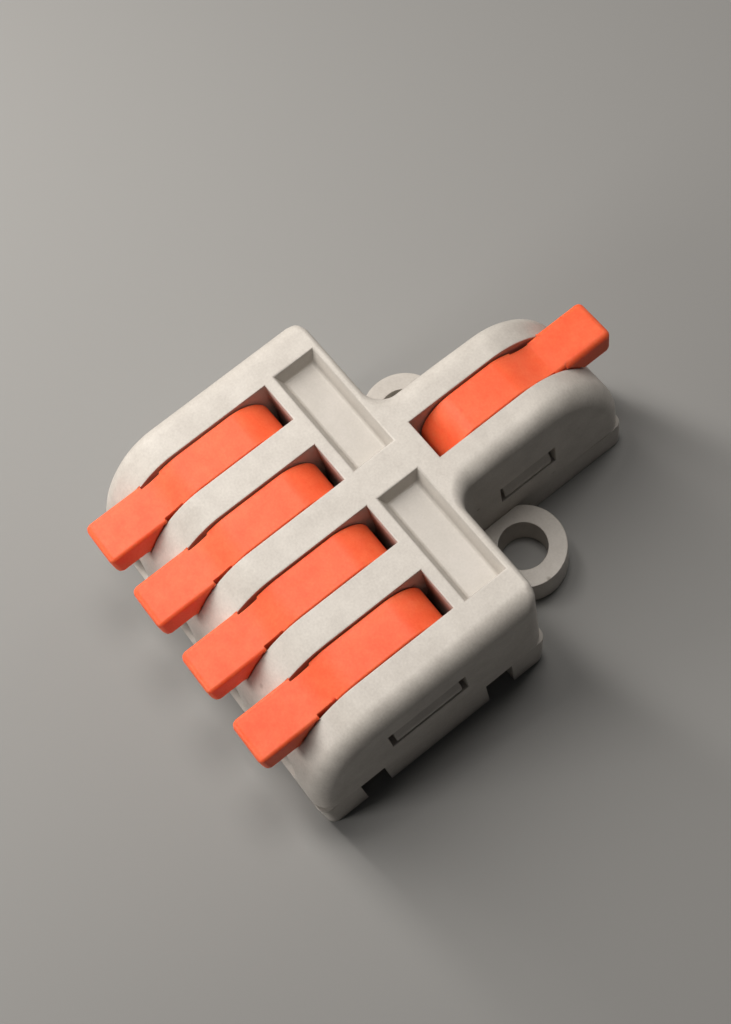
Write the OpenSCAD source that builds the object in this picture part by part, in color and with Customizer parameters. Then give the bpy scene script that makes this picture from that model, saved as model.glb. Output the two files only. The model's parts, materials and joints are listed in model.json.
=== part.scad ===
// Lever wire connector: one feed wire in at the back, four outgoing wires at the front.
// Millimetres. +Z is up and the wires run along Y, with the four outgoing wires towards -Y.
// The origin is midway between the two screw holes, on the bottom face.

/* [Housing] */
// Height of the housing above the surface it is screwed to
body_h = 15; // [14.5:0.5:20]
// Distance from the screw holes to the front face
block_front = 25.5; // [24.5:0.5:34]
// Distance from the screw holes to the rear wall of the four-way block
block_rear = 3.5; // [3.3:0.1:3.7]
// Thickness from the outermost chamber to the outer side face
side_wall = 3.05; // [3:0.05:5]
// Width of the neck that holds the single feed position
neck_w = 9.6; // [9.6:0.1:12]
// Distance from the screw holes to the rear face
neck_rear = 13.1; // [12.5:0.5:18]
// Horizontal run of the curved ends
end_run = 7.65; // [5:0.05:9]
// Radius along the long outer edges
edge_r = 1.6; // [0.6:0.1:2]
// Radius of the inside corners where the neck leaves the block
neck_fillet = 1.8; // [0.5:0.1:2.5]

/* [Positions] */
// Spacing of the outgoing wires
pitch = 6.5; // [5.4:0.1:9]
// Distance from the screw holes to the inner ends of the four slots
front_slot_end = 8.95; // [8.9:0.05:9.5]
// Distance from the screw holes forward to the inner end of the single slot
rear_slot_end = 2.4; // [2:0.1:2.8]
// Width of a lever slot
slot_w = 3.7; // [3.2:0.1:4.6]
// Radius of the wire entry
wire_r = 2.1; // [1.6:0.05:2.5]
// Length of the round part of a wire entry
port_len = 3.7; // [2.5:0.1:4.5]
// Depth of the flared mouth of a wire entry
port_flare = 0.9; // [0.5:0.1:1.2]

/* [Label recesses] */
// Length of each recess along X
recess_w = 10.3; // [6:0.1:10.4]
// Width of each recess along Y
recess_l = 3.8; // [2:0.1:3.9]
// Depth of each recess
recess_depth = 1.5; // [0.5:0.1:2.5]
// How far the sloping sides of each recess lean inwards
recess_slope = 0.5; // [0:0.05:0.9]
// Width of the rib between the two recesses
recess_rib = 2.9; // [2:0.1:4]
// Distance from the slots' inner ends to the recesses
recess_gap = 0.95; // [0.8:0.05:1.2]

/* [Levers] */
// Radius of the lever's round hub
hub_r = 3.1; // [2.5:0.05:3.2]
// Radius of the trunnions that the lever turns on
trunnion_r = 1.2; // [0.8:0.05:1.45]
// Width of the finger paddle
paddle_w = 3.84; // [3.5:0.02:4.6]
// Thickness of the finger paddle
paddle_t = 2.35; // [1.5:0.05:2.5]
// How far a front paddle reaches past the front face
front_overhang = 1.0; // [0.5:0.1:3]
// How far the rear paddle reaches past the rear face
rear_overhang = 1.1; // [0.5:0.1:3]
// How far the front paddles lie below the top face
front_drop = 0.85; // [0.6:0.05:1]
// How far the rear paddle lies below the top face
rear_drop = 1.45; // [1.2:0.05:1.6]

/* [Base cover] */
// Height of the cover's end blocks, where the housing sits on them
split_z = 4.4; // [3.5:0.1:4.5]
// Height of the cover under the neck
neck_split_z = 3.3; // [2.8:0.1:3.6]
// Thickness of the cover's floor
floor_t = 1.4; // [1:0.1:1.8]
// Length of the front end block
front_block_l = 3.6; // [2.5:0.1:3.9]
// Length of the rear end block
rear_block_l = 3.6; // [2.5:0.1:3.8]
// Radius of the end blocks' upright corners
foot_r = 0.8; // [0.3:0.1:1.5]

/* [Mounting ears] */
// Distance between the two screw holes
ear_span = 15.7; // [15.2:0.1:18]
// Outer radius of an ear
ear_r = 3.55; // [3:0.05:4]
// Radius of a screw hole
ear_hole_r = 2; // [1.5:0.05:2.5]
// Thickness of an ear
ear_t = 3.6; // [2:0.1:3.9]

/* [Metal parts] */
// Thickness of the current bar
bar_t = 0.8; // [0.6:0.05:0.9]
// Thickness of the spring strip
spring_t = 0.4; // [0.3:0.05:0.45]
// Radius of the spring's loop, along the middle of the strip
loop_r = 1.2; // [0.9:0.05:1.3]

/* [Hidden] */
$fn = 64;
EPS = 0.01;
slice_t = 0.05;

// Running and assembly clearances
lever_gap = 0.1;
trunnion_gap = 0.05;
part_gap = 0.1;
surface_gap = 0.12;
slot_end_gap = 0.6;

// A chamber is wide enough for the trunnions and for the wire
shoulder = 0.45;
chamber_w = max(slot_w + 2 * shoulder, 2 * wire_r + 0.4);
body_w = 3 * pitch + chamber_w + 2 * side_wall;
lever_w = slot_w - 2 * lever_gap;

// The hub's top lies just under the housing's top face
lever_sink = 0.2;
pivot_z = body_h - lever_sink - hub_r;
pivot_s = hub_r + slot_end_gap;
hub_flat = 1.6;
slot_floor = pivot_z - 0.5;
chamber_top = pivot_z - hub_flat - 0.2;

// Current bar: a floor plate, and under each hub a flange that the wire is pressed against
flange_top = pivot_z - hub_r - part_gap;
flange_z = flange_top - bar_t;
wire_z = flange_z - 0.85;
plate_top = floor_t + bar_t;
inner_bottom = plate_top + 0.05;
bar_w = 3.4;
flange_w = 2.3;
flange_reach = 7.2;
riser_s = 0.3;
tongue_w = 4;

// Posts on the cover hold the trunnions up in their seats
post_t = shoulder - 2 * trunnion_gap;
post_l = 2 * trunnion_r - 0.3;

// Side latches: an arm of the cover behind an outer skin of the housing, with a tooth in a window
skin_t = 1.05;
latch_t = 1.05;
latch_pocket = latch_t + 2 * part_gap;
latch_l = 6.2;
window_l = 7.1;
window_h = 3;
window_z = body_h - 7.1;
side_latch_y = -front_slot_end - 5.65;
tab_l = 9.9;
neck_skin_t = 0.7;
neck_latch_t = 0.8;
neck_latch_l = 4.7;
neck_window_l = 5.4;
neck_window_z = body_h - 8.7;
neck_window_h = 2.6;
neck_latch_y = neck_rear - 9.8;

// Positions 0 to 3 are the outgoing wires and position 4 is the feed
function pos_x(k) = k < 4 ? (k - 1.5) * pitch : 0;
function slot_y(k) = k < 4 ? -front_slot_end : -rear_slot_end;
function wall_s(k) = k < 4 ? block_front - front_slot_end : neck_rear + rear_slot_end;
function chamber_l(k) = wall_s(k) - port_flare - port_len;
function tip_s(k) = wall_s(k) + (k < 4 ? front_overhang : rear_overhang);
function drop(k) = k < 4 ? front_drop : rear_drop;

// Places a position's own frame: s runs along +Y from the slot's inner end towards the lever's tip
module at_position(k)
    translate([pos_x(k), slot_y(k), 0])
        rotate([0, 0, k < 4 ? 180 : 0])
            children();

// A block centred on X, from s0 to s1 and from z0 to z1
module span(w, s0, s1, z0, z1)
    translate([-w / 2, s0, z0])
        cube([w, s1 - s0, z1 - z0]);

// Extrudes an outline drawn in (s, z) across X, centred
module across(w)
    rotate([90, 0, 90])
        linear_extrude(w, center = true)
            children();

// Quarter ellipse from the top round to the side, moved inwards by d
function quarter(a, b, d, n = 14) =
    [for (i = [n:-1:0])
        let (t = 90 * i / n, u = [cos(t) / a, sin(t) / b])
            [a * cos(t), b * sin(t)] - d * u / norm(u)];

// Side outline of a body whose far end falls in a quarter ellipse, moved inwards by d
function end_outline(s_back, s_wall, back_inset, d) =
    concat([[s_back + back_inset, 0], [s_back + back_inset, body_h - d]],
           [for (p = quarter(end_run, body_h - split_z, d)) [s_wall - end_run + p[0], split_z + p[1]]],
           [[s_wall - d, 0]]);

// Body with that outline and rounded long edges: thin slices, moved inwards as they near the side
module rounded_body(w, s_back, s_wall, round_back)
    hull()
        for (side = [-1, 1], a = [0:15:90])
            let (d = edge_r * (1 - cos(a)), x = w / 2 - edge_r * (1 - sin(a)) - slice_t / 2)
                translate([side * x, 0, 0])
                    across(slice_t)
                        polygon(end_outline(s_back, s_wall, round_back ? d : 0, d));

// Rectangle with four round corners, from [x0, y0] to [x1, y1]
module round_rect(x0, y0, x1, y1, r) {
    translate([x0 + r, y0])
        square([x1 - x0 - 2 * r, y1 - y0]);
    translate([x0, y0 + r])
        square([x1 - x0, y1 - y0 - 2 * r]);
    for (x = [x0 + r, x1 - r], y = [y0 + r, y1 - r])
        translate([x, y])
            circle(r);
}

// ---------- Housing ----------

module housing_outer() {
    rotate([0, 0, 180])
        rounded_body(body_w, block_rear, block_front, true);
    rounded_body(neck_w, -block_rear - 2 * edge_r, neck_rear, false);
    for (side = [-1, 1])
        translate([side * neck_w / 2, -block_rear, 0])
            mirror([side < 0 ? 1 : 0, 0, 0])
                linear_extrude(body_h - edge_r / 2)
                    difference() {
                        translate([-edge_r, -edge_r])
                            square(neck_fillet + edge_r);
                        translate([neck_fillet, neck_fillet])
                            circle(neck_fillet);
                        translate([neck_fillet, -edge_r - 1])
                            square([1, edge_r + 1]);
                    }
}

// What the levers, wires and metal parts need at one position
module position_cut(k) {
    far = wall_s(k) + 5;
    span(slot_w, 0, far, slot_floor, body_h + 1);
    span(slot_w, 0, 2 * pivot_s + 0.8, chamber_top - EPS, body_h + 1);
    span(chamber_w, 0, chamber_l(k), -1, chamber_top);
    span(chamber_w, pivot_s - trunnion_r - trunnion_gap, pivot_s + trunnion_r + trunnion_gap,
         chamber_top - EPS, pivot_z);
    translate([0, pivot_s, pivot_z])
        rotate([0, 90, 0])
            cylinder(r = trunnion_r + trunnion_gap, h = chamber_w, center = true);
    translate([0, chamber_l(k) - EPS, wire_z])
        rotate([-90, 0, 0])
            cylinder(r = wire_r, h = port_len + port_flare + 1);
    translate([0, wall_s(k) - port_flare, wire_z])
        rotate([-90, 0, 0])
            cylinder(r1 = wire_r, r2 = wire_r + 0.45, h = port_flare + EPS);
}

// Everything that the base cover and the current bar take out of the housing's underside
module housing_underside() {
    inner_x = 1.5 * pitch + chamber_w / 2 + 0.7;
    inner_front = -front_slot_end - chamber_l(0) - 0.6;
    inner_back = -block_rear - rear_block_l - part_gap;
    difference() {
        translate([-body_w, -block_front - 1, -1])
            cube([2 * body_w, block_front + 1 - block_rear, split_z + 1]);
        translate([-inner_x, inner_front, inner_bottom])
            cube([2 * inner_x, inner_back - inner_front, body_h]);
        for (side = [-1, 1])
            translate([side * (body_w / 2 - skin_t / 2), side_latch_y, body_h / 2])
                cube([skin_t, tab_l, body_h + 4], center = true);
    }
    translate([-neck_w, -block_rear - EPS, -1])
        cube([2 * neck_w, block_rear + neck_rear + 1, neck_split_z + 1]);
    span(tongue_w + 2 * part_gap, inner_back - 1, -rear_slot_end, -1, inner_bottom + 0.4);
}

module label_recess(side)
    translate([side * (recess_rib + recess_w) / 2, -front_slot_end + recess_gap + recess_l / 2, body_h])
        hull() {
            cube([recess_w, recess_l, 2 * EPS], center = true);
            translate([0, 0, EPS - recess_depth])
                cube([recess_w - 2 * recess_slope, recess_l - 2 * recess_slope, 2 * EPS], center = true);
        }

module latch_window(side, half_w, skin, pocket, y, len, z, h, win_l) {
    x_in = half_w - skin - pocket;
    translate([side > 0 ? x_in : -half_w + skin, y - len / 2 - part_gap, -1])
        cube([pocket, len + 2 * part_gap, z + h + 2.1]);
    translate([side > 0 ? x_in : -half_w - 1, y - win_l / 2, z])
        cube([skin + pocket + 1, win_l, h]);
}

module housing()
    color([0.83, 0.80, 0.75])
        difference() {
            housing_outer();
            housing_underside();
            for (k = [0:4])
                at_position(k)
                    position_cut(k);
            for (side = [-1, 1]) {
                label_recess(side);
                latch_window(side, body_w / 2, skin_t, latch_pocket, side_latch_y, latch_l,
                             window_z, window_h, window_l);
                latch_window(side, neck_w / 2, neck_skin_t, neck_latch_t + 2 * part_gap, neck_latch_y,
                             neck_latch_l, neck_window_z, neck_window_h, neck_window_l);
            }
        }

// ---------- Base cover ----------

// Latch arm with a sloped tooth, on the side towards +X
module latch_arm(x_in, t, reach, len, z_tooth, h_tooth) {
    translate([x_in, -len / 2, 0])
        cube([t, len, z_tooth + h_tooth + 0.9]);
    translate([0, len / 2, 0])
        rotate([90, 0, 0])
            linear_extrude(len)
                polygon([[x_in + t - EPS, z_tooth + part_gap], [x_in + t + reach, z_tooth + part_gap],
                         [x_in + t + reach, z_tooth + 0.35 * h_tooth],
                         [x_in + t - EPS, z_tooth + h_tooth - part_gap]]);
}

module end_block(y0, y1)
    linear_extrude(split_z)
        round_rect(-body_w / 2, y0, body_w / 2, y1, foot_r);

module cover_latches()
    for (side = [0, 1])
        mirror([side, 0, 0]) {
            translate([0, side_latch_y, 0])
                latch_arm(body_w / 2 - skin_t - latch_pocket + part_gap, latch_t, skin_t, latch_l,
                          window_z, window_h);
            translate([0, neck_latch_y, 0])
                latch_arm(neck_w / 2 - neck_skin_t - neck_latch_t - part_gap, neck_latch_t,
                          neck_skin_t, neck_latch_l, neck_window_z, neck_window_h);
        }

module base_cover()
    color([0.80, 0.77, 0.72]) {
        inset_w = body_w - 2 * (skin_t + latch_pocket);
        difference() {
            union() {
                end_block(-block_front, -block_front + front_block_l);
                end_block(-block_rear - rear_block_l, -block_rear);
                span(inset_w, -block_front + front_block_l - 1, -block_rear - 1, 0, floor_t);
                span(inset_w + 2 * latch_t, side_latch_y - latch_l / 2, side_latch_y + latch_l / 2,
                     0, floor_t);
                linear_extrude(neck_split_z)
                    round_rect(-neck_w / 2, -block_rear - 1, neck_w / 2, neck_rear, foot_r);
                for (side = [-1, 1])
                    translate([side * ear_span / 2, 0, 0])
                        cylinder(r = ear_r, h = ear_t);
            }
            for (side = [-1, 1])
                translate([side * ear_span / 2, 0, -1])
                    cylinder(r = ear_hole_r, h = ear_t + 2);
            // The neck's outline stays inside the ears above its own height
            span(neck_w, -block_rear + EPS, neck_rear, neck_split_z, split_z);
            // Well for the feed position's metal parts, and the channel that leads to it
            at_position(4)
                span(chamber_w, 0, chamber_l(4), floor_t, split_z);
            span(tongue_w + 2 * part_gap, -block_rear - rear_block_l - 1, -rear_slot_end + EPS,
                 floor_t, split_z + 1);
        }
        cover_latches();
        for (k = [0:4], side = [-1, 1])
            at_position(k)
                translate([side * (slot_w / 2 + trunnion_gap + post_t / 2), pivot_s, 0])
                    translate([-post_t / 2, -post_l / 2, 0])
                        cube([post_t, post_l, pivot_z - trunnion_r - trunnion_gap]);
    }

// ---------- Current bar ----------

module current_bar()
    color([0.85, 0.72, 0.62]) {
        plate_s0 = riser_s;
        plate_s1 = 8.8;
        difference() {
            union() {
                span(3 * pitch + chamber_w - 2 * part_gap, -front_slot_end - plate_s1,
                     -front_slot_end - plate_s0, floor_t, plate_top);
                span(tongue_w, -front_slot_end - plate_s0 - 1, -rear_slot_end + plate_s1,
                     floor_t, plate_top);
            }
            for (k = [0:4], side = [-1, 1])
                at_position(k)
                    translate([side * (slot_w / 2 + shoulder / 2), pivot_s, 0])
                        cube([shoulder + 2 * part_gap, post_l + 2 * part_gap, 4 * plate_top],
                             center = true);
        }
        for (k = [0:4])
            at_position(k) {
                span(bar_w, riser_s, riser_s + bar_t, floor_t, flange_top);
                span(flange_w, riser_s, flange_reach, flange_z, flange_top);
            }
    }

// ---------- Levers ----------

// Side outline of a lever, in (s, z) from its pivot
module lever_outline(k) {
    top = hub_r;
    tip = tip_s(k) - pivot_s;
    low = top + lever_sink - drop(k);
    bend = wall_s(k) - pivot_s - end_run - 0.3;
    neck_end = bend + 3.6;
    nose = 0.7;
    difference() {
        circle(hub_r);
        translate([-0.55 * hub_r, -2 * hub_r])
            square([2 * hub_r, 2 * hub_r - hub_flat]);
    }
    polygon(concat(
        [[0, 0], [0, top], [bend, top]],
        [for (i = [1:8]) [bend + (neck_end - bend) * i / 8, top + (low - top) * (1 - cos(22.5 * i)) / 2]],
        [for (a = [90:-15:0]) [tip - nose + nose * cos(a), low - nose + nose * sin(a)]],
        [for (a = [0:-15:-75]) [tip - nose + nose * cos(a), low - paddle_t + nose + 0.25 + nose * sin(a)]],
        [[tip - 2.6, low - paddle_t], [tip - 3.6, slot_floor - pivot_z + 0.2],
         [bend + 1, slot_floor - pivot_z + 0.2], [bend - 0.4, 0]]));
}

module lever(k) {
    bend = wall_s(k) - pivot_s - end_run - 0.3;
    notch_0 = bend + 1.9;
    notch_1 = bend + 3.65;
    notch_d = 0.3;
    color([1.0, 0.42, 0.28])
        at_position(k)
            translate([0, pivot_s, pivot_z]) {
                difference() {
                    across(paddle_w)
                        lever_outline(k);
                    for (side = [0, 1])
                        mirror([side, 0, 0]) {
                            // The arm is narrower than the paddle, with a notch between them
                            translate([lever_w / 2, -2 * hub_r, -2 * hub_r])
                                cube([paddle_w, 2 * hub_r + notch_1, 4 * hub_r]);
                            translate([lever_w / 2 - notch_d, notch_0, -2 * hub_r])
                                cube([paddle_w, notch_1 - notch_0, 4 * hub_r]);
                            // The paddle's edges lie over the housing's curved end
                            translate([(lever_w + paddle_w) / 2, -pivot_s, -pivot_z])
                                across(paddle_w)
                                    polygon(end_outline(0, wall_s(k), 0, -surface_gap));
                        }
                }
                rotate([0, 90, 0])
                    cylinder(r = trunnion_r, h = chamber_w - 2 * trunnion_gap, center = true);
            }
}

// ---------- Clamp springs ----------

// Outline of a strip of thickness t that follows the open path p
function turn_at(p, i) =
    let (a = p[max(i - 1, 0)], b = p[i], c = p[min(i + 1, len(p) - 1)],
         u = i == 0 ? c - b : b - a, v = i == len(p) - 1 ? b - a : c - b,
         n0 = [-u[1], u[0]] / norm(u), n1 = [-v[1], v[0]] / norm(v), m = n0 + n1)
        2 * m / (m * m);
function strip(p, t) =
    concat([for (i = [0:len(p) - 1]) p[i] + turn_at(p, i) * t / 2],
           [for (i = [len(p) - 1:-1:0]) p[i] - turn_at(p, i) * t / 2]);

module spring(k) {
    strip_w = bar_w;
    wing_w = 0.4;
    leg_z = plate_top + spring_t / 2;
    loop = [min(9.2, chamber_l(k) - loop_r - spring_t - 0.1), leg_z + loop_r];
    bite = [6.2, flange_z - spring_t / 2 - 0.15];
    wing_z = pivot_z - hub_flat - spring_t / 2 - 0.15;
    reach = bite - loop;
    a_end = atan2(reach[1], reach[0]) - acos(loop_r / norm(reach));
    leg = concat([[2.4, leg_z]],
                 [for (a = [-90:(a_end + 90) / 12:a_end + EPS]) loop + loop_r * [cos(a), sin(a)]],
                 [bite]);
    wings = [bite + 0.5 * (loop + loop_r * [cos(a_end), sin(a_end)] - bite), bite,
             [bite[0] - 1, wing_z], [2.9, wing_z]];
    color([0.78, 0.79, 0.80])
        at_position(k) {
            across(strip_w)
                polygon(strip(leg, spring_t));
            for (side = [-1, 1])
                translate([side * (strip_w - wing_w) / 2, 0, 0])
                    across(wing_w)
                        polygon(strip(wings, spring_t));
        }
}

housing();
base_cover();
current_bar();
lever(0);  // lever_1
lever(1);  // lever_2
lever(2);  // lever_3
lever(3);  // lever_4
lever(4);  // lever_5
spring(0);  // spring_1
spring(1);  // spring_2
spring(2);  // spring_3
spring(3);  // spring_4
spring(4);  // spring_5
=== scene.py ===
import json
import math

import bmesh
import bpy
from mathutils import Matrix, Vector


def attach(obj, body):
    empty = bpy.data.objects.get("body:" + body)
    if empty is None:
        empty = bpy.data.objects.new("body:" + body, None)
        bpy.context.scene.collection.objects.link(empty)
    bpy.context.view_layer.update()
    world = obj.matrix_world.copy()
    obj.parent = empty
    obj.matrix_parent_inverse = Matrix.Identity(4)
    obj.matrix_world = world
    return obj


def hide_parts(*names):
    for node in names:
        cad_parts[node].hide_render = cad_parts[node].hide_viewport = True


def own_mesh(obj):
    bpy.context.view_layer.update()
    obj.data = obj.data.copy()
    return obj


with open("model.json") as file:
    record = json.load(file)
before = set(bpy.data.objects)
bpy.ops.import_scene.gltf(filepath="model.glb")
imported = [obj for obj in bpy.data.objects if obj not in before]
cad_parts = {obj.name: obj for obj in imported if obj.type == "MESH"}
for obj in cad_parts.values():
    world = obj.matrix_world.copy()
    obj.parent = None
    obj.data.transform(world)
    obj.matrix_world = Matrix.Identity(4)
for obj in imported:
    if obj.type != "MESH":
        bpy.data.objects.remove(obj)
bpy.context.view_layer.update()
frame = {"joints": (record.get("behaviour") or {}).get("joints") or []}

# ---------------------------------------------------------------- Camera
# A small object seen from above and to the side, so the camera stands close and its near limit is short.
bpy.ops.object.camera_add(location=(0.0410023, -0.0213844, 0.1153886),
                          rotation=(0.36294409, 0.14137328, 0.91723898))
camera = bpy.context.object
camera.data.lens = 51.841
camera.data.sensor_width = 36
camera.data.clip_start = 0.005
camera.data.clip_end = 20
bpy.context.scene.camera = camera
bpy.context.scene.view_settings.view_transform = "Standard"

# ---------------------------------------------------------------- Housing
# The moulded top shell, in warm light grey polyamide with a satin face: a four-way block and a neck,
# with a slot for each lever and two sunk label fields. It snaps down onto the base cover.
# All sizes are in millimetres, and MM turns them into metres.
MM = 0.001
TOP, FRONT, REAR = 15.0, -25.5, 13.1            # the top face and the two end walls
SIDE, NECK, BACK = 15.1, 4.8, -3.5              # half widths of the block and the neck, and the block's back wall
END_RUN, END_DROP = 7.65, 10.6                  # the quarter ellipse over each end wall
SPLIT, NECK_SPLIT = 4.4, 3.3                    # where the housing ends and the base cover shows below it
SLOT, SLOT_FLOOR = 3.7, 11.2                    # a lever's slot: its width and its floor
CHAMBER, CHAMBER_TOP, END_SOLID = 4.6, 9.9, 4.6  # a clamp chamber, and the solid end left between it and the wall
WIRE_Z, WIRE_R, FLARE, FLARE_R = 6.85, 2.1, 0.9, 2.25   # a wire entry and its flared rim
PIVOT_Z, PIVOT_RUN, SEAT = 11.7, 3.7, 1.25      # a lever's pivot, from its slot's inner end, and its round seat
EDGE, RIM, FILLET = 1.6, 0.45, 1.8              # the outer edges, the back's top edge, the corner beside the neck
FIELD_FLOOR, FIELD_MIDDLE = 13.5, (6.6, -6.1)   # the two sunk label fields


def only(*objects):
    """Selects these objects and nothing else, with the first one active."""
    bpy.ops.object.select_all(action="DESELECT")
    for o in objects:
        o.select_set(True)
    bpy.context.view_layer.objects.active = objects[0]


def block(name, x, y, z):
    """A box between the given pairs of millimetres, with its place in its mesh."""
    bpy.ops.object.select_all(action="DESELECT")
    middle = [(a + b) / 2 * MM for a, b in (x, y, z)]
    bpy.ops.mesh.primitive_cube_add(size=1, location=middle)
    made = bpy.context.object
    made.name = name
    made.scale = [(b - a) * MM for a, b in (x, y, z)]
    bpy.ops.object.transform_apply(location=True, rotation=True, scale=True)
    return made


def rod(name, centre, radius, length, axis, sides=64, radius_2=None):
    """A round bar or taper along X, Y or Z about a centre, with its place in its mesh."""
    bpy.ops.object.select_all(action="DESELECT")
    turn = {"X": (0, math.pi / 2, 0), "Y": (-math.pi / 2, 0, 0), "Z": (0, 0, 0)}[axis]
    bpy.ops.mesh.primitive_cone_add(vertices=sides, radius1=radius * MM, depth=length * MM, rotation=turn,
                                    radius2=(radius if radius_2 is None else radius_2) * MM,
                                    location=[c * MM for c in centre])
    made = bpy.context.object
    made.name = name
    bpy.ops.object.transform_apply(location=True, rotation=True, scale=True)
    return made


def choose(piece, kind, test):
    """Opens a piece in edit mode and selects what passes the test.

    The test is given a VERT's place, an EDGE's two ends, or a FACE's middle and normal.
    """
    only(piece)
    bpy.ops.object.mode_set(mode="EDIT")
    bpy.ops.mesh.select_mode(type=kind)
    bpy.ops.mesh.select_all(action="DESELECT")
    shape = bmesh.from_edit_mesh(piece.data)
    parts = {"VERT": shape.verts, "EDGE": shape.edges, "FACE": shape.faces}[kind]
    chosen = []
    for part in parts:
        if kind == "VERT":
            hit = test(part.co / MM)
        elif kind == "EDGE":
            hit = test(part.verts[0].co / MM, part.verts[1].co / MM)
        else:
            hit = test(part.calc_center_median() / MM, part.normal)
        if hit:
            chosen.append(part)
    for part in chosen:
        part.select_set(True)
    bmesh.update_edit_mesh(piece.data)


def done():
    """Leaves edit mode."""
    bpy.ops.object.mode_set(mode="OBJECT")


def near(a, b, tolerance=0.003):
    """Whether two lengths are the same to within a few thousandths of a millimetre."""
    return abs(a - b) < tolerance


def finish_with(piece, kind, **settings):
    """Adds a modifier and applies it at once."""
    only(piece)
    change = piece.modifiers.new(kind.title(), kind)
    for key, value in settings.items():
        setattr(change, key, value)
    bpy.ops.object.modifier_apply(modifier=change.name)


def combine(piece, tool, how="DIFFERENCE"):
    """Cuts a piece with a tool, or joins the tool to it, and removes the tool."""
    finish_with(piece, "BOOLEAN", object=tool, operation=how, solver="EXACT")
    bpy.data.objects.remove(tool)


def joined(name, pieces):
    """Makes one object of several, under a new name."""
    only(*pieces)
    bpy.ops.object.join()
    pieces[0].name = name
    return pieces[0]


def curved_end(piece, x_half, wall, toward, top=TOP, run=END_RUN, fall=END_DROP, steps=24):
    """Rounds the top edge over an end wall into a quarter ellipse that ends at that wall's place."""
    start = wall - toward * run
    choose(piece, "EDGE", lambda a, b: near(a.z, top) and near(b.z, top) and near(a.y, b.y)
           and near(a.y, start + toward * fall) and abs(a.x) < x_half + 0.01 and abs(b.x) < x_half + 0.01)
    bpy.ops.mesh.bevel(offset=fall * MM, segments=steps, affect="EDGES", clamp_overlap=False)
    done()
    choose(piece, "VERT", lambda v: (v.y - start) * toward > 0.001 and abs(v.x) < x_half + 0.01)
    bpy.ops.transform.resize(value=(1, run / fall, 1), center_override=(0, start * MM, 0))
    done()


def weigh(piece, rule):
    """Gives each edge a bevel weight, by a rule on its two ends."""
    weights = piece.data.attributes.new("bevel_weight_edge", "FLOAT", "EDGE")
    points = piece.data.vertices
    for edge in piece.data.edges:
        a, b = (points[i].co / MM for i in edge.vertices)
        weights.data[edge.index].value = rule(a, b)


housing = block("housing_shell", (-SIDE, SIDE), (FRONT + END_RUN - END_DROP, BACK), (0, TOP))
for x in (-NECK, NECK):
    choose(housing, "FACE", lambda c, n: True)
    bpy.ops.mesh.bisect(plane_co=(x * MM, 0, 0), plane_no=(1, 0, 0))
    done()
choose(housing, "FACE", lambda c, n: n.y > 0.9 and abs(c.x) < NECK)
neck_length = REAR - END_RUN + END_DROP - BACK
bpy.ops.mesh.extrude_region_move(TRANSFORM_OT_translate={"value": (0, neck_length * MM, 0)})
done()
curved_end(housing, SIDE, FRONT, -1)
curved_end(housing, NECK, REAR, 1)
choose(housing, "FACE", lambda c, n: True)
bpy.ops.mesh.dissolve_limited(angle_limit=math.radians(0.5))
done()
choose(housing, "EDGE", lambda a, b: near(abs(a.x), NECK) and near(a.x, b.x)
       and near(a.y, BACK) and near(b.y, BACK))
bpy.ops.mesh.bevel(offset=FILLET * MM, segments=10, affect="EDGES", clamp_overlap=False)
done()


def outline_weight(a, b):
    """Full on the sides, a small rim along the back, and growing from one to the other round the fillet."""
    low = a.z < 0.01 and b.z < 0.01
    on_side = near(abs(a.x), SIDE) and near(abs(b.x), SIDE) and near(a.x, b.x)
    on_neck = near(abs(a.x), NECK) and near(abs(b.x), NECK) and near(a.x, b.x)
    if low:
        return 0.0
    if on_side or (on_neck and not (near(a.y, BACK + FILLET) and near(b.y, BACK + FILLET))):
        return 1.0
    flat = near(a.z, TOP) and near(b.z, TOP)
    if flat and near(a.y, BACK) and near(b.y, BACK):
        return RIM / EDGE
    middle = (a + b) / 2
    if flat and BACK - 0.01 < middle.y < BACK + FILLET and NECK - 0.01 < abs(middle.x) < NECK + FILLET:
        turn = math.atan2(NECK + FILLET - abs(middle.x), BACK + FILLET - middle.y) / (math.pi / 2)
        return RIM / EDGE + (1 - RIM / EDGE) * max(0.0, min(1.0, turn))
    return 0.0


weigh(housing, outline_weight)
finish_with(housing, "BEVEL", limit_method="WEIGHT", width=EDGE * MM, segments=6, use_clamp_overlap=False)


def node(tree, kind, inputs=None, **settings):
    """Adds a shader node with its settings, and sets or links its inputs."""
    made = tree.nodes.new("ShaderNode" + kind)
    for key, value in settings.items():
        setattr(made, key, value)
    for key, value in (inputs or {}).items():
        if isinstance(value, bpy.types.NodeSocket):
            tree.links.new(value, made.inputs[key])
        else:
            made.inputs[key].default_value = value
    return made


def new_group(name, inputs, outputs):
    """An empty node group with these named sockets, and its input and output nodes."""
    tree = bpy.data.node_groups.new(name, "ShaderNodeTree")
    for label, kind, value in inputs:
        socket = tree.interface.new_socket(label, in_out="INPUT", socket_type="NodeSocket" + kind)
        if value is not None:
            socket.default_value = value
    for label, kind in outputs:
        tree.interface.new_socket(label, in_out="OUTPUT", socket_type="NodeSocket" + kind)
    return tree, tree.nodes.new("NodeGroupInput"), tree.nodes.new("NodeGroupOutput")


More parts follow.
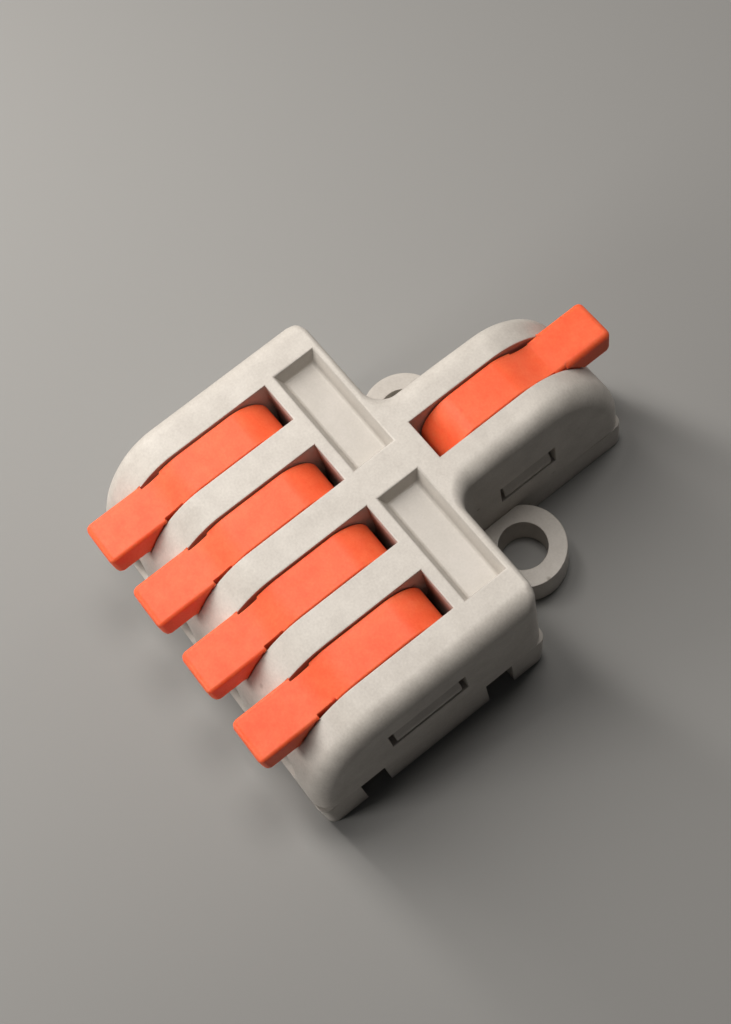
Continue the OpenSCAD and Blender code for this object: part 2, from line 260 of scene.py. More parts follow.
# Moulded plastic: faint cloudy flow marks, a few dark specks, fine spark-eroded grain and light scuffs
plastic, given, gives = new_group(
    "moulded_plastic",
    [("Vector", "Vector", None), ("Light", "Color", (1, 1, 1, 1)), ("Deep", "Color", (0.8, 0.8, 0.8, 1)),
     ("Speck", "Color", (0.3, 0.3, 0.3, 1)), ("Cloud Size", "Float", 420.0), ("Speck Share", "Float", 0.93),
     ("Grain Size", "Float", 9000.0)],
    [("Colour", "Color"), ("Gloss Change", "Float"), ("Height", "Float")])
cloud = node(plastic, "TexNoise", {"Vector": given.outputs["Vector"], "Scale": given.outputs["Cloud Size"],
                                   "Detail": 6.0, "Roughness": 0.68})
fine = node(plastic, "TexNoise", {"Vector": given.outputs["Vector"], "Scale": 5200.0, "Detail": 2.0})
both = node(plastic, "Math", {0: fine.outputs["Fac"], 1: 0.55, 2: cloud.outputs["Fac"]},
            operation="MULTIPLY_ADD")
cloud_mask = node(plastic, "MapRange", {"Value": both.outputs["Value"], "From Min": 0.56, "From Max": 0.99})
clouded = node(plastic, "MixRGB", {"Fac": cloud_mask.outputs["Result"], "Color1": given.outputs["Deep"],
                                   "Color2": given.outputs["Light"]})
cells = node(plastic, "TexVoronoi", {"Vector": given.outputs["Vector"], "Scale": 620.0, "Randomness": 1.0})
spot = node(plastic, "MapRange", {"Value": cells.outputs["Distance"], "From Min": 0.05, "From Max": 0.15,
                                  "To Min": 1.0, "To Max": 0.0})
pick = node(plastic, "SeparateColor", {"Color": cells.outputs["Color"]})
few = node(plastic, "Math", {0: pick.outputs["Red"], 1: given.outputs["Speck Share"]}, operation="GREATER_THAN")
faint = node(plastic, "Math", {0: few.outputs["Value"], 1: spot.outputs["Result"]}, operation="MULTIPLY")
faded = node(plastic, "Math", {0: faint.outputs["Value"], 1: pick.outputs["Green"]}, operation="MULTIPLY")
specked = node(plastic, "MixRGB", {"Fac": faded.outputs["Value"], "Color1": clouded.outputs["Color"],
                                   "Color2": given.outputs["Speck"]})
plastic.links.new(specked.outputs["Color"], gives.inputs["Colour"])
grain = node(plastic, "TexNoise", {"Vector": given.outputs["Vector"], "Scale": given.outputs["Grain Size"],
                                   "Detail": 3.0})
stretch = node(plastic, "Mapping", {"Vector": given.outputs["Vector"], "Rotation": (0.2, 0.1, 0.9),
                                    "Scale": (2600.0, 260.0, 1400.0)})
scuff = node(plastic, "TexNoise", {"Vector": stretch.outputs["Vector"], "Scale": 1.0, "Detail": 4.0,
                                   "Roughness": 0.7})
scuff_mask = node(plastic, "MapRange", {"Value": scuff.outputs["Fac"], "From Min": 0.62, "From Max": 0.74})
plastic.links.new(scuff_mask.outputs["Result"], gives.inputs["Gloss Change"])
scratched = node(plastic, "Math", {0: scuff_mask.outputs["Result"], 1: -0.35, 2: grain.outputs["Fac"]},
                 operation="MULTIPLY_ADD")
plastic.links.new(scratched.outputs["Value"], gives.inputs["Height"])


def plastic_finish(name, light, deep, speck, rough, relief, **values):
    """A moulded plastic with its colours, its roughness and the depth of its grain in micrometres."""
    made = bpy.data.materials.new(name)
    made.use_nodes = True
    tree = made.node_tree
    shader = tree.nodes["Principled BSDF"]
    place = node(tree, "TexCoord")
    face = node(tree, "Group", node_tree=plastic)
    tree.links.new(place.outputs["Object"], face.inputs["Vector"])
    for key, value in {"Light": (*light, 1), "Deep": (*deep, 1), "Speck": (*speck, 1), **values}.items():
        face.inputs[key].default_value = value
    tree.links.new(face.outputs["Colour"], shader.inputs["Base Color"])
    gloss = node(tree, "MapRange", {"Value": face.outputs["Gloss Change"], "To Min": rough, "To Max": rough + 0.12})
    tree.links.new(gloss.outputs["Result"], shader.inputs["Roughness"])
    bump = node(tree, "Bump", {"Height": face.outputs["Height"], "Strength": 1.0, "Distance": relief * 1e-6})
    tree.links.new(bump.outputs["Normal"], shader.inputs["Normal"])
    return made, shader


outside, shader = plastic_finish("housing_outside", (0.61, 0.57, 0.52), (0.495, 0.457, 0.414),
                                 (0.33, 0.29, 0.25), rough=0.5, relief=5)
shader.inputs["Specular IOR Level"].default_value = 0.4
# Faces that point downwards get a copy of this plastic with a smoother, glossier finish and a darker tint; the
# darker tint is painted shade.
inside, _ = plastic_finish("housing_inside_painted_shade", (0.56, 0.52, 0.475), (0.49, 0.455, 0.41),
                           (0.33, 0.29, 0.25), rough=0.42, relief=3)
housing.data.materials.append(inside)
housing.data.materials.append(outside)
# Faces that point up or sideways take the outside finish; those that point down keep the darker copy with its
# painted shade.
choose(housing, "FACE", lambda c, n: n.z > -0.5)
housing.active_material_index = 1
bpy.ops.object.material_slot_assign()
done()

# Each wire position is its slot's X, the slot's inner end, which way it runs (-1 or 1) and its end wall.
positions = []
for hinge in frame["joints"]:
    x, y, z = (c / MM for c in hinge["pos_m"])
    toward = -1 if y < BACK else 1
    positions.append((x, y - toward * PIVOT_RUN, toward, FRONT if toward < 0 else REAR))


def run_of(position, start, end):
    """The Y range of a stretch of a position, measured from its slot's inner end."""
    x, inner, toward, wall = position
    return sorted((inner + toward * start, inner + toward * end))


slots, wells, chambers, seats, ports = [], [], [], [], []
for n, position in enumerate(positions):
    x, inner, toward, wall = position
    length = abs(wall - inner)
    slot_width, chamber_width = (x - SLOT / 2, x + SLOT / 2), (x - CHAMBER / 2, x + CHAMBER / 2)
    slots.append(block("slot_%d" % n, slot_width, run_of(position, 0, length + 5), (SLOT_FLOOR, TOP + 2)))
    wells.append(block("well_%d" % n, slot_width, run_of(position, 0, 8.2), (CHAMBER_TOP - 0.05, SLOT_FLOOR + 1)))
    chambers.append(block("chamber_%d" % n, chamber_width, run_of(position, 0, length - END_SOLID),
                          (-1, CHAMBER_TOP)))
    seat_top = PIVOT_Z + SEAT
    seat = block("seat_%d" % n, chamber_width, run_of(position, PIVOT_RUN - SEAT, PIVOT_RUN + SEAT),
                 (CHAMBER_TOP - 0.1, seat_top))
    choose(seat, "EDGE", lambda a, b: near(a.z, seat_top) and near(b.z, seat_top) and near(a.y, b.y))
    bpy.ops.mesh.bevel(offset=(SEAT - 0.01) * MM, segments=8, affect="EDGES")
    done()
    seats.append(seat)
    mouth = wall - toward * FLARE
    y0, y1 = run_of(position, length - END_SOLID - 0.05, length - FLARE)
    port = rod("port_%d" % n, (x, (y0 + y1) / 2, WIRE_Z), WIRE_R, y1 - y0, "Y")
    choose(port, "FACE", lambda c, normal: normal.y * toward > 0.9)
    bpy.ops.mesh.extrude_region_move(TRANSFORM_OT_translate={"value": (0, toward * FLARE * MM, 0)})
    bpy.ops.transform.resize(value=(FLARE_R / WIRE_R, 1, FLARE_R / WIRE_R),
                             center_override=(x * MM, mouth * MM, WIRE_Z * MM))
    bpy.ops.mesh.extrude_region_move(TRANSFORM_OT_translate={"value": (0, toward * 1.5 * MM, 0)})
    done()
    ports.append(port)
fields = []
for side in (-1, 1):
    field = block("field", sorted((side * 1.45, side * 11.75)), (-8.0, -4.2), (FIELD_FLOOR, TOP))
    choose(field, "FACE", lambda c, n: n.z < -0.9)
    bpy.ops.transform.resize(value=(9.8 / 10.3, 2.8 / 3.8, 1),
                             center_override=(side * FIELD_MIDDLE[0] * MM, FIELD_MIDDLE[1] * MM, 0))
    bpy.ops.mesh.bevel(offset=0.22 * MM, segments=3, affect="EDGES")
    done()
    choose(field, "FACE", lambda c, n: n.z > 0.9)
    bpy.ops.mesh.extrude_region_move(TRANSFORM_OT_translate={"value": (0, 0, 2 * MM)})
    done()
    fields.append(field)
combine(housing, joined("slots", slots + fields))
combine(housing, joined("wells", wells + ports))
combine(housing, joined("chambers", chambers))
combine(housing, joined("seats", seats))

# The underside: the base cover's blocks, the side tabs, the latch pockets and their windows
under = block("under", (-20, 20), (FRONT - 1, BACK + 0.02), (-1, SPLIT))
combine(under, block("plug", (-12.75, 12.75), (-21.5, -7.2), (2.25, 6)))
tabs = [block("tab_%d" % s, sorted((s * 14.05, s * 15.2)), (-19.55, -9.65), (-2, 6)) for s in (-1, 1)]
combine(under, joined("tabs", tabs))
combine(housing, under)
combine(housing, block("neck_under", (-9.6, 9.6), (BACK - 0.01, REAR + 1), (-1, NECK_SPLIT)))
combine(housing, block("tongue", (-2.1, 2.1), (-8.2, -2.4), (-1, 2.65)))
pockets = [block("pocket_%d" % s, sorted((s * 12.8, s * 14.05)), (-17.8, -11.4), (-1, 11.9)) for s in (-1, 1)]
pockets += [block("neck_pocket_%d" % s, sorted((s * 3.1, s * 4.1)), (0.85, 5.75), (-1, 9.9)) for s in (-1, 1)]
combine(housing, joined("pockets", pockets))
windows = [block("window_%d" % s, sorted((s * 13.0, s * 16.1)), (-18.15, -11.05), (7.9, 10.9)) for s in (-1, 1)]
windows += [block("neck_window_%d" % s, sorted((s * 3.3, s * 5.8)), (0.6, 6.0), (6.3, 8.9)) for s in (-1, 1)]
combine(housing, joined("windows", windows))
choose(housing, "FACE", lambda c, n: True)
bpy.ops.mesh.fill_holes(sides=4)
bpy.ops.mesh.select_all(action="SELECT")
bpy.ops.mesh.normals_make_consistent(inside=False)
done()


def soften(piece, width, segments=2, angle=35, only_between=False, share=lambda a, b: 1.0):
    """Rounds a piece's sharp edges, or only those between two material slots, and smooths it.

    An edge's own rounding is the width times what share gives for its two ends.
    """
    only(piece)
    shape = bmesh.new()
    shape.from_mesh(piece.data)
    layers = shape.edges.layers.float
    weight = layers.get("bevel_weight_edge") or layers.new("bevel_weight_edge")
    for edge in shape.edges:
        sharp = len(edge.link_faces) == 2 and edge.calc_face_angle() > math.radians(angle)
        if only_between and sharp:
            sharp = edge.link_faces[0].material_index != edge.link_faces[1].material_index
        edge[weight] = share(edge.verts[0].co / MM, edge.verts[1].co / MM) if sharp else 0.0
    shape.to_mesh(piece.data)
    shape.free()
    finish_with(piece, "BEVEL", limit_method="WEIGHT", width=width * MM, segments=segments, use_clamp_overlap=False)
    only(piece)
    bpy.ops.object.shade_smooth_by_angle(angle=math.radians(angle))
    finish_with(piece, "WEIGHTED_NORMAL", keep_sharp=True)


soften(housing, 0.14, only_between=True, share=lambda a, b: 1.0 if min(a.z, b.z) > SPLIT + 0.3 else 0.0)
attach(housing, "shell")
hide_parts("housing")

# ---------------------------------------------------------------- Levers
# Five orange clamp levers, each moulded in one piece with its hub, its two trunnions and a finger paddle.
# They snap into round seats in the housing, and lie almost flush with it when they are shut.
HUB, TRUNNION, LEVER, PADDLE, PADDLE_T = 3.1, 1.2, 3.5, 3.84, 2.35
FLAT_X, FLAT_Z = 1.705, 1.6      # the cam's flat: where it starts before the pivot, and how far below it
NOTCH_DEPTH, CLEARANCE = 0.17, 0.12   # the waist notch, and the gap between paddle and curved end
HUB_SIDES = 98
LEVER_TOP = PIVOT_Z + HUB * math.cos(math.pi / HUB_SIDES)


def make_lever(name, length, reach, drop):
    """A lever along +Y from its slot's inner end.

    It has a length to the end wall, a reach of its tip past that wall, and a drop of its paddle below the top.
    """
    tip, low, bend = length + reach, TOP - drop, length - END_RUN - 0.3
    swan = bend + 3.6
    stations = [(bend - 0.4, LEVER_TOP, PIVOT_Z, LEVER), (bend, LEVER_TOP, PIVOT_Z - 0.08, LEVER)]
    notch = (bend + 1.9, bend + 3.65)
    for i in range(1, 9):
        y = bend + (swan - bend) * i / 8
        top = LEVER_TOP + (low - LEVER_TOP) * (1 - math.cos(math.radians(22.5 * i))) / 2
        base = PIVOT_Z - 0.3 if y > bend + 1 else PIVOT_Z - 0.2
        stations.append((y, top, base, LEVER if y < notch[0] + 0.6 else PADDLE))
    stations += [(notch[1], low, PIVOT_Z - 0.3, PADDLE), (tip - 3.6, low, PIVOT_Z - 0.3, PADDLE)]
    stations += [(tip - 2.6, low, low - PADDLE_T, PADDLE), (tip, low, low - PADDLE_T, PADDLE)]
    arm = rod(name, (0, PIVOT_RUN, PIVOT_Z), HUB, LEVER, "X", HUB_SIDES)
    y, top, base, width = stations[0]
    choose(arm, "FACE", lambda c, n: n.y > 0.02 and abs(n.x) < 0.5 and c.z > PIVOT_Z)
    bpy.ops.mesh.extrude_region_move(TRANSFORM_OT_translate={"value": (0, 4 * MM, 0)})
    bpy.ops.transform.resize(value=(1, 0, 1), center_override=(0, y * MM, 0))
    for y2, top2, base2, width2 in stations[1:]:
        middle, middle2 = (top + base) / 2, (top2 + base2) / 2
        bpy.ops.mesh.extrude_region_move(
            TRANSFORM_OT_translate={"value": (0, (y2 - y) * MM, (middle2 - middle) * MM)})
        bpy.ops.transform.resize(value=(width2 / width, 1, (top2 - base2) / (top - base)),
                                 center_override=(0, y2 * MM, middle2 * MM))
        y, top, base, width = y2, top2, base2, width2
    done()
    sides = []
    for side in (-1, 1):
        sides.append(block("notch", sorted((side * (LEVER / 2 - NOTCH_DEPTH), side * 3)), notch, (5, TOP + 1)))
    combine(arm, joined("notches", sides))
    sides = []
    for side in (-1, 1):
        slab_end = length - END_RUN + END_DROP + CLEARANCE
        slab = block("slab", sorted((side * LEVER / 2, side * 3)), (-1, slab_end), (-1, TOP + CLEARANCE))
        curved_end(slab, 5, length + CLEARANCE, 1, TOP + CLEARANCE, END_RUN + CLEARANCE, END_DROP + CLEARANCE)
        sides.append(slab)
    combine(arm, joined("slabs", sides))
    combine(arm, block("flat", (-3, 3), (PIVOT_RUN - FLAT_X, PIVOT_RUN + 4), (5, PIVOT_Z - FLAT_Z)))
    combine(arm, rod("trunnions", (0, PIVOT_RUN, PIVOT_Z), TRUNNION, CHAMBER - 0.1, "X", 48), "UNION")
    choose(arm, "FACE", lambda c, n: True)
    bpy.ops.mesh.dissolve_limited(angle_limit=math.radians(0.5))
    done()

    def rounding(a, b):
        """Full at the tip and along the paddle's top edges, slight elsewhere."""
        if min(a.y, b.y) > tip - 0.01 or (min(a.z, b.z) > low - 0.01 and min(a.y, b.y) > notch[1] + 0.3):
            return 1.0
        return 0.12 if min(a.y, b.y) > notch[0] - 0.01 else 0.28

    choose(arm, "FACE", lambda c, n: True)
    bpy.ops.mesh.bisect(plane_co=(0, (notch[1] + 0.5) * MM, 0), plane_no=(0, 1, 0))
    done()
    soften(arm, 0.5, 5, 28, share=rounding)
    return arm


orange, shader = plastic_finish("lever_orange", (0.99, 0.165, 0.062), (0.93, 0.112, 0.034),
                                (0.80, 0.075, 0.025), rough=0.52, relief=5,
                                **{"Cloud Size": 520.0, "Speck Share": 0.95})
shader.inputs["Specular IOR Level"].default_value = 0.32
shader.inputs["Subsurface Weight"].default_value = 0.45
shader.inputs["Subsurface Radius"].default_value = (1.0, 0.2, 0.08)
shader.inputs["Subsurface Scale"].default_value = 0.0010
FRONT_START, REAR_START = -8.95, -2.4   # the slots' inner ends
front_lever = make_lever("lever_front", FRONT_START - FRONT, reach=1.0, drop=0.85)
rear_lever = make_lever("lever_rear", REAR - REAR_START, reach=1.1, drop=1.45)
for pattern in (front_lever, rear_lever):
    pattern.data.materials.clear()
    pattern.data.materials.append(orange)
for n, (x, inner, toward, wall) in enumerate(positions):
    pattern = front_lever if toward < 0 else rear_lever
    lever = pattern.copy()
    lever.data = pattern.data.copy()
    lever.name = "lever_piece_%d" % (n + 1)
    bpy.context.collection.objects.link(lever)
    lever.location = (x * MM, inner * MM, 0)
    lever.rotation_euler = (0, 0, math.pi if toward < 0 else 0)
    only(lever)
    bpy.ops.object.transform_apply(location=True, rotation=True, scale=True)
    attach(lever, "lever_%d_body" % (n + 1))
    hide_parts("lever_%d" % (n + 1))
bpy.data.objects.remove(front_lever)
bpy.data.objects.remove(rear_lever)

# ---------------------------------------------------------------- Base cover
# The snap-on tray under the housing, moulded in the same grey plastic: a floor, two end blocks and two
# screw ears. Latch arms reach up behind the housing's skin and show their teeth in its windows, and
# posts carry the trunnions.
TRAY_FLOOR, EAR_X, EAR_R, EAR_HEIGHT, SCREW_R = 1.4, 7.85, 3.55, 3.6, 2.0
TROUGH_X, POST_OUT, POST_HALF = 2.1, 0.225, 0.175


def foot(name, x, y, z, radius, outer):
    """A block with round upright corners at the end or ends given by outer."""
    made = block(name, x, y, z)
    choose(made, "EDGE", lambda a, b: near(a.x, b.x) and near(a.y, b.y) and any(near(a.y, end) for end in outer))
    bpy.ops.mesh.bevel(offset=radius * MM, segments=5, affect="EDGES")
    done()
    return made


def latch(side, x0, thick, reach, y_middle, length, tooth, height):
    """An upright arm with a tooth that slopes outwards, towards +X or -X."""
    arm = block("latch", sorted((side * x0, side * (x0 + thick))), (y_middle - length / 2, y_middle + length / 2),
                (0, tooth + height + 0.9))
    for z in (tooth + 0.1, tooth + height - 0.1):
        choose(arm, "FACE", lambda c, n: True)
        bpy.ops.mesh.bisect(plane_co=(0, 0, z * MM), plane_no=(0, 0, 1))
        done()
    choose(arm, "FACE", lambda c, n: n.x * side > 0.9 and tooth < c.z < tooth + height)
    bpy.ops.mesh.extrude_region_move(TRANSFORM_OT_translate={"value": (side * reach * MM, 0, 0)})
    done()
    edge = x0 + thick + reach
    choose(arm, "VERT", lambda v: near(abs(v.x), edge) and near(v.z, tooth + height - 0.1))
    bpy.ops.transform.translate(value=(0, 0, (0.35 * height - height + 0.1) * MM))
    done()
    return arm


cover = block("cover_tray", (-12.8, 12.8), (-22.5, -4.5), (0, TRAY_FLOOR))
front_foot = foot("front_foot", (-SIDE, SIDE), (FRONT, FRONT + 3.6), (0, SPLIT), 0.8, [FRONT])
rear_foot = foot("rear_foot", (-SIDE, SIDE), (BACK - 3.6, BACK), (0, SPLIT), 0.8, [BACK])
choose(rear_foot, "VERT", lambda v: near(v.z, 0) and v.y > BACK - 1.5)
bpy.ops.transform.translate(value=(0, -0.4 * MM, 0))
done()
combine(cover, joined("feet", [front_foot, rear_foot]), "UNION")
combine(cover, foot("neck_tray", (-NECK, NECK), (BACK - 1.2, REAR), (0, NECK_SPLIT), 0.8, [REAR]), "UNION")
ears = [rod("ear_%d" % s, (s * EAR_X, 0, EAR_HEIGHT / 2), EAR_R, EAR_HEIGHT, "Z", 96) for s in (-1, 1)]
combine(cover, joined("ears", ears), "UNION")
holes = [rod("hole_%d" % s, (s * EAR_X, 0, 2), SCREW_R, 8, "Z", 72) for s in (-1, 1)]
combine(cover, joined("holes", holes))
combine(cover, block("over_neck", (-NECK, NECK), (BACK + 0.01, REAR - 1), (NECK_SPLIT, SPLIT)))
combine(cover, block("channel", (-TROUGH_X, TROUGH_X), (-8.2, 8.5), (TRAY_FLOOR, 6)))
combine(cover, block("well", (-CHAMBER / 2, CHAMBER / 2), (REAR_START, 8.5), (TRAY_FLOOR, 6)))
arms = []
for side in (-1, 1):
    arms.append(latch(side, 12.9, 1.05, 1.05, -14.6, 6.2, 7.9, 3.0))
    arms.append(latch(side, 3.2, 0.8, 0.7, 3.3, 4.7, 6.3, 2.6))
    arms.append(block("arm_foot", sorted((side * 12.5, side * 13.5)), (-17.7, -11.5), (0, TRAY_FLOOR)))
feet = [arms.pop(5), arms.pop(2)]
combine(cover, joined("arm_feet", feet), "UNION")
combine(cover, joined("arms", arms), "UNION")
posts = []
for position in positions:
    for side in (-1, 1):
        middle = position[0] + side * (SLOT / 2 + POST_OUT)
        posts.append(block("post", (middle - POST_HALF, middle + POST_HALF),
                           run_of(position, PIVOT_RUN - 1.05, PIVOT_RUN + 1.05), (1.0, PIVOT_Z - SEAT)))
combine(cover, joined("posts", posts), "UNION")
soften(cover, 0.12, 2, 35, share=lambda a, b: 1.0 if min(a.z, b.z) > 0.01 else 0.0)
tray, shader = plastic_finish("cover_grey", (0.57, 0.53, 0.485), (0.485, 0.448, 0.405),
                              (0.31, 0.27, 0.23), rough=0.48, relief=5)
shader.inputs["Specular IOR Level"].default_value = 0.4
cover.data.materials.clear()
cover.data.materials.append(tray)
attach(cover, "shell")
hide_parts("base_cover")

# ---------------------------------------------------------------- Current bar
# One stamped strip of tin-plated copper that joins all five wires. Under each hub a riser carries a flange,
# against which the clamp spring presses the bare wire; the plate lies on the base cover's floor.
BAR_TOP, FLANGE_Z, RISER_TOP = 2.2, 7.7, 8.5
PLATE = (TRAY_FLOOR, BAR_TOP)
bar = block("busbar", (-11.95, 11.95), (-17.75, -9.25), PLATE)
combine(bar, block("tongue", (-2, 2), (-10.25, 6.4), PLATE), "UNION")
cutouts, risers = [], []
for position in positions:
    x, inner, toward, wall = position
    for side in (-1, 1):
        middle = x + side * (SLOT / 2 + POST_OUT)
        cutouts.append(block("cutout", (middle - POST_HALF - 0.15, middle + POST_HALF + 0.15),
                             run_of(position, PIVOT_RUN - 1.15, PIVOT_RUN + 1.15), (1, 3)))
    riser = block("riser", (x - 1.7, x + 1.7), run_of(position, 0.3, 1.1), (TRAY_FLOOR, RISER_TOP))
    choose(riser, "FACE", lambda c, n: True)
    bpy.ops.mesh.bisect(plane_co=(0, 0, FLANGE_Z * MM), plane_no=(0, 0, 1))
    done()
    choose(riser, "FACE", lambda c, n: n.y * toward > 0.9 and c.z > FLANGE_Z)
    bpy.ops.mesh.extrude_region_move(TRANSFORM_OT_translate={"value": (0, toward * 0.5 * MM, 0)})
    bpy.ops.transform.resize(value=(2.3 / 3.4, 1, 1), center_override=(x * MM, 0, 0))
    bpy.ops.mesh.extrude_region_move(TRANSFORM_OT_translate={"value": (0, toward * 5.6 * MM, 0)})
    done()
    back_edge = inner + toward * 0.3
    choose(riser, "EDGE", lambda a, b: near(a.z, RISER_TOP) and near(b.z, RISER_TOP)
           and near(a.y, back_edge) and near(b.y, back_edge))
    bpy.ops.mesh.bevel(offset=0.7 * MM, segments=5, affect="EDGES")
    done()
    risers.append(riser)
combine(bar, joined("cutouts", cutouts))
combine(bar, joined("risers", risers), "UNION")
soften(bar, 0.06, 2, 35)

# Metal strip: the fine lines left by rolling, with patches that are a little duller
rolled, given, gives = new_group(
    "rolled_strip",
    [("Vector", "Vector", None), ("Bright", "Color", (1, 1, 1, 1)), ("Dull", "Color", (0.6, 0.6, 0.6, 1)),
     ("Line Scale", "Vector", (9000.0, 500.0, 9000.0))],
    [("Colour", "Color"), ("Gloss Change", "Float"), ("Height", "Float")])
along = node(rolled, "Mapping", {"Vector": given.outputs["Vector"], "Scale": given.outputs["Line Scale"]})
lines = node(rolled, "TexNoise", {"Vector": along.outputs["Vector"], "Scale": 1.0, "Detail": 3.0})
patch = node(rolled, "TexNoise", {"Vector": given.outputs["Vector"], "Scale": 420.0, "Detail": 4.0,
                                  "Distortion": 0.8})
dull = node(rolled, "MapRange", {"Value": patch.outputs["Fac"], "From Min": 0.4, "From Max": 0.65})
shade = node(rolled, "MixRGB", {"Fac": dull.outputs["Result"], "Color1": given.outputs["Bright"],
                                "Color2": given.outputs["Dull"]})
rolled.links.new(shade.outputs["Color"], gives.inputs["Colour"])
rolled.links.new(dull.outputs["Result"], gives.inputs["Gloss Change"])
rolled.links.new(lines.outputs["Fac"], gives.inputs["Height"])


def metal_finish(name, bright, dull_colour, rough, line_scale):
    """A rolled metal with its bright and dull colours, its roughness, and the scale of its lines on each axis."""
    made = bpy.data.materials.new(name)
    made.use_nodes = True
    tree = made.node_tree
    shader = tree.nodes["Principled BSDF"]
    shader.inputs["Metallic"].default_value = 1.0
    place = node(tree, "TexCoord")
    face = node(tree, "Group", node_tree=rolled)
    tree.links.new(place.outputs["Object"], face.inputs["Vector"])
    face.inputs["Bright"].default_value = (*bright, 1)
    face.inputs["Dull"].default_value = (*dull_colour, 1)
    face.inputs["Line Scale"].default_value = line_scale
    tree.links.new(face.outputs["Colour"], shader.inputs["Base Color"])
    gloss = node(tree, "MapRange", {"Value": face.outputs["Gloss Change"], "To Min": rough, "To Max": rough + 0.16})
    tree.links.new(gloss.outputs["Result"], shader.inputs["Roughness"])
    bump = node(tree, "Bump", {"Height": face.outputs["Height"], "Strength": 1.0, "Distance": 2e-6})
    tree.links.new(bump.outputs["Normal"], shader.inputs["Normal"])
    return made


tinned = metal_finish("tinned_copper", (0.86, 0.76, 0.66), (0.72, 0.58, 0.47), 0.26, (9000.0, 400.0, 9000.0))
bar.data.materials.clear()
bar.data.materials.append(tinned)
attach(bar, "shell")
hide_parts("current_bar")

# ---------------------------------------------------------------- Clamp springs
# Five bent strips of stainless spring steel. The loop pushes the strip's end up, so that it holds the wire
# against the bar's flange; when a lever opens, its cam presses the two side wings down and frees the wire.
STRIP, WING, THICK, LOOP = 3.4, 0.4, 0.4, 1.2


def make_spring(name, chamber):
    """A clamp spring along +Y from its slot's inner end, in a chamber of this length."""
    leg_z = BAR_TOP + THICK / 2
    loop_y = min(9.2, chamber - LOOP - THICK - 0.1)
    bite = Vector((6.2, FLANGE_Z - THICK / 2 - 0.15))
    centre = Vector((loop_y, leg_z + LOOP))
    reach = bite - centre
    end = math.atan2(reach.y, reach.x) - math.acos(LOOP / reach.length)
    bpy.ops.object.select_all(action="DESELECT")
    bpy.ops.mesh.primitive_plane_add(size=1, location=(0, (2.4 + loop_y) / 2 * MM, leg_z * MM))
    strip = bpy.context.object
    strip.name = name
    strip.scale = (STRIP * MM, (loop_y - 2.4) * MM, 1)
    bpy.ops.object.transform_apply(location=True, rotation=True, scale=True)
    choose(strip, "EDGE", lambda a, b: near(a.y, loop_y) and near(b.y, loop_y))
    bpy.ops.mesh.spin(steps=16, angle=-end - math.pi / 2, center=(0, centre.x * MM, centre.y * MM), axis=(1, 0, 0))
    done()
    tangent = centre + LOOP * Vector((math.cos(end), math.sin(end)))
    choose(strip, "EDGE", lambda a, b: near(a.y, tangent.x, 0.02) and near(a.z, tangent.y, 0.02)
           and near(b.y, tangent.x, 0.02) and near(b.z, tangent.y, 0.02))
    bpy.ops.mesh.extrude_region_move(
        TRANSFORM_OT_translate={"value": (0, (bite.x - tangent.x) * MM, (bite.y - tangent.y) * MM)})
    done()
    wing_z = PIVOT_Z - FLAT_Z - THICK / 2 - 0.15
    wing_start, wing_end = 2.9, bite.x - 1
    wings = []
    for side in (-1, 1):
        middle = side * (STRIP - WING) / 2
        bpy.ops.object.select_all(action="DESELECT")
        bpy.ops.mesh.primitive_plane_add(
            size=1, location=(middle * MM, (wing_start + wing_end) / 2 * MM, wing_z * MM))
        wing = bpy.context.object
        wing.scale = (WING * MM, (wing_end - wing_start) * MM, 1)
        bpy.ops.object.transform_apply(location=True, rotation=True, scale=True)
        choose(wing, "EDGE", lambda a, b: near(a.y, wing_end) and near(b.y, wing_end))
        bpy.ops.mesh.extrude_region_move(TRANSFORM_OT_translate={"value": (0, 1 * MM, (bite.y - wing_z) * MM)})
        done()
        wings.append(wing)
    made = joined(name, [strip] + wings)
    finish_with(made, "SOLIDIFY", thickness=THICK * MM, offset=0, use_even_offset=True)
    choose(made, "FACE", lambda c, n: True)
    bpy.ops.mesh.normals_make_consistent(inside=False)
    done()
    soften(made, 0.05, 2, 35)
    return made


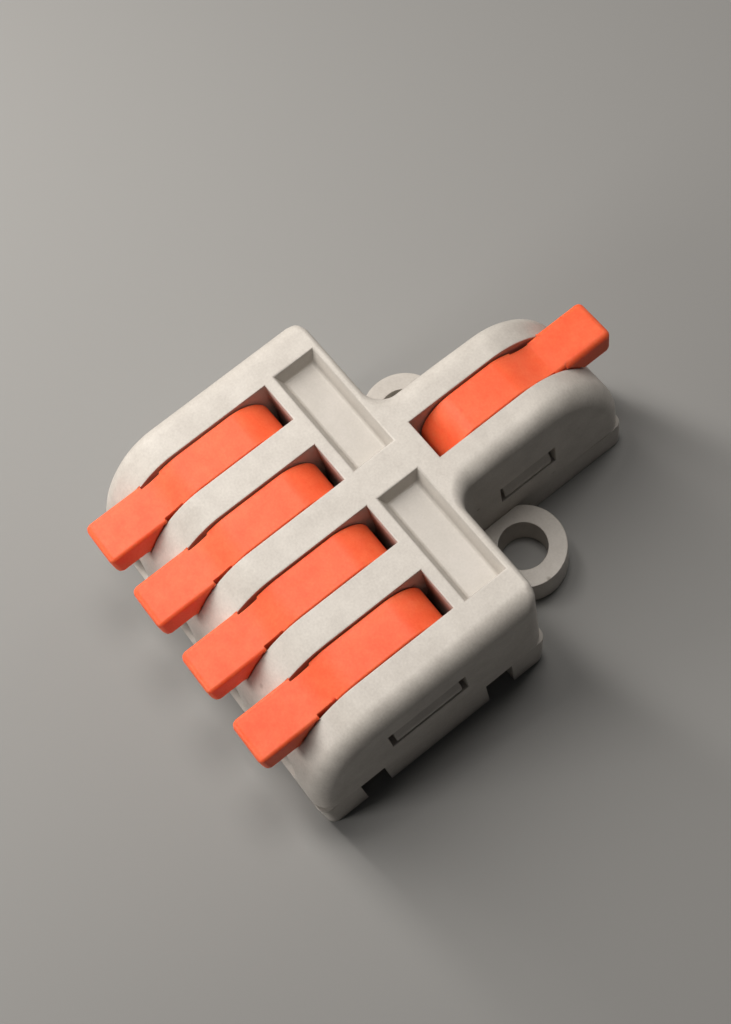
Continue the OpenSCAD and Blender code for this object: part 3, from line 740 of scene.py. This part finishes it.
steel = metal_finish("spring_steel", (0.74, 0.75, 0.76), (0.60, 0.60, 0.60), 0.2, (12000.0, 700.0, 700.0))
for n, (x, inner, toward, wall) in enumerate(positions):
    spring = make_spring("clamp_spring_%d" % (n + 1), abs(wall - inner) - END_SOLID)
    spring.data.materials.append(steel)
    spring.location = (x * MM, inner * MM, 0)
    spring.rotation_euler = (0, 0, math.pi if toward < 0 else 0)
    only(spring)
    bpy.ops.object.transform_apply(location=True, rotation=True, scale=True)
    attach(spring, "shell")
    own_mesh(spring)
    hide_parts("spring_%d" % (n + 1))

# ---------------------------------------------------------------- Floor and lights
# A plain matt floor in mid grey. A long narrow key light stands high on the -X side and a small one hangs
# overhead, with two weak fills for the ends. None of them is part of the object.
bpy.ops.object.select_all(action="DESELECT")
bpy.ops.mesh.primitive_plane_add(size=3, location=(0, 0, -0.0001))
floor = bpy.context.object
floor.name = "floor"
matt_grey = bpy.data.materials.new("matt_grey_floor")
matt_grey.use_nodes = True
shader = matt_grey.node_tree.nodes["Principled BSDF"]
shader.inputs["Base Color"].default_value = (0.29, 0.286, 0.278, 1)
shader.inputs["Roughness"].default_value = 0.9
floor.data.materials.append(matt_grey)


def lamp(name, place, aim, width, length, power, tint):
    """A soft box of this width and length, its long side along Y, turned to face the aim."""
    bpy.ops.object.select_all(action="DESELECT")
    bpy.ops.object.light_add(type="AREA", location=place)
    light = bpy.context.object
    light.name = name
    light.data.shape = "RECTANGLE"
    light.data.size = width
    light.data.size_y = length
    light.data.energy = power
    light.data.color = tint
    light.rotation_euler = (Vector(aim) - Vector(place)).to_track_quat("-Z", "Y").to_euler()


lamp("key", (-0.085, -0.030, 0.115), (0, -0.008, 0.012), 0.018, 0.170, 0.222, (1.0, 0.965, 0.92))
lamp("overhead", (-0.004, 0.012, 0.145), (0, -0.006, 0.010), 0.03, 0.03, 0.052, (1.0, 0.965, 0.92))
lamp("front_fill", (-0.030, -0.140, 0.055), (0, -0.006, 0.008), 0.04, 0.04, 0.07, (1.0, 0.97, 0.93))
lamp("rear_fill", (-0.030, 0.120, 0.060), (0, -0.006, 0.008), 0.04, 0.04, 0.018, (1.0, 0.97, 0.93))
world = bpy.data.worlds.new("studio")
bpy.context.scene.world = world
world.use_nodes = True
sky = world.node_tree.nodes["Background"]
sky.inputs["Color"].default_value = (0.95, 0.97, 1.0, 1)
sky.inputs["Strength"].default_value = 0.03
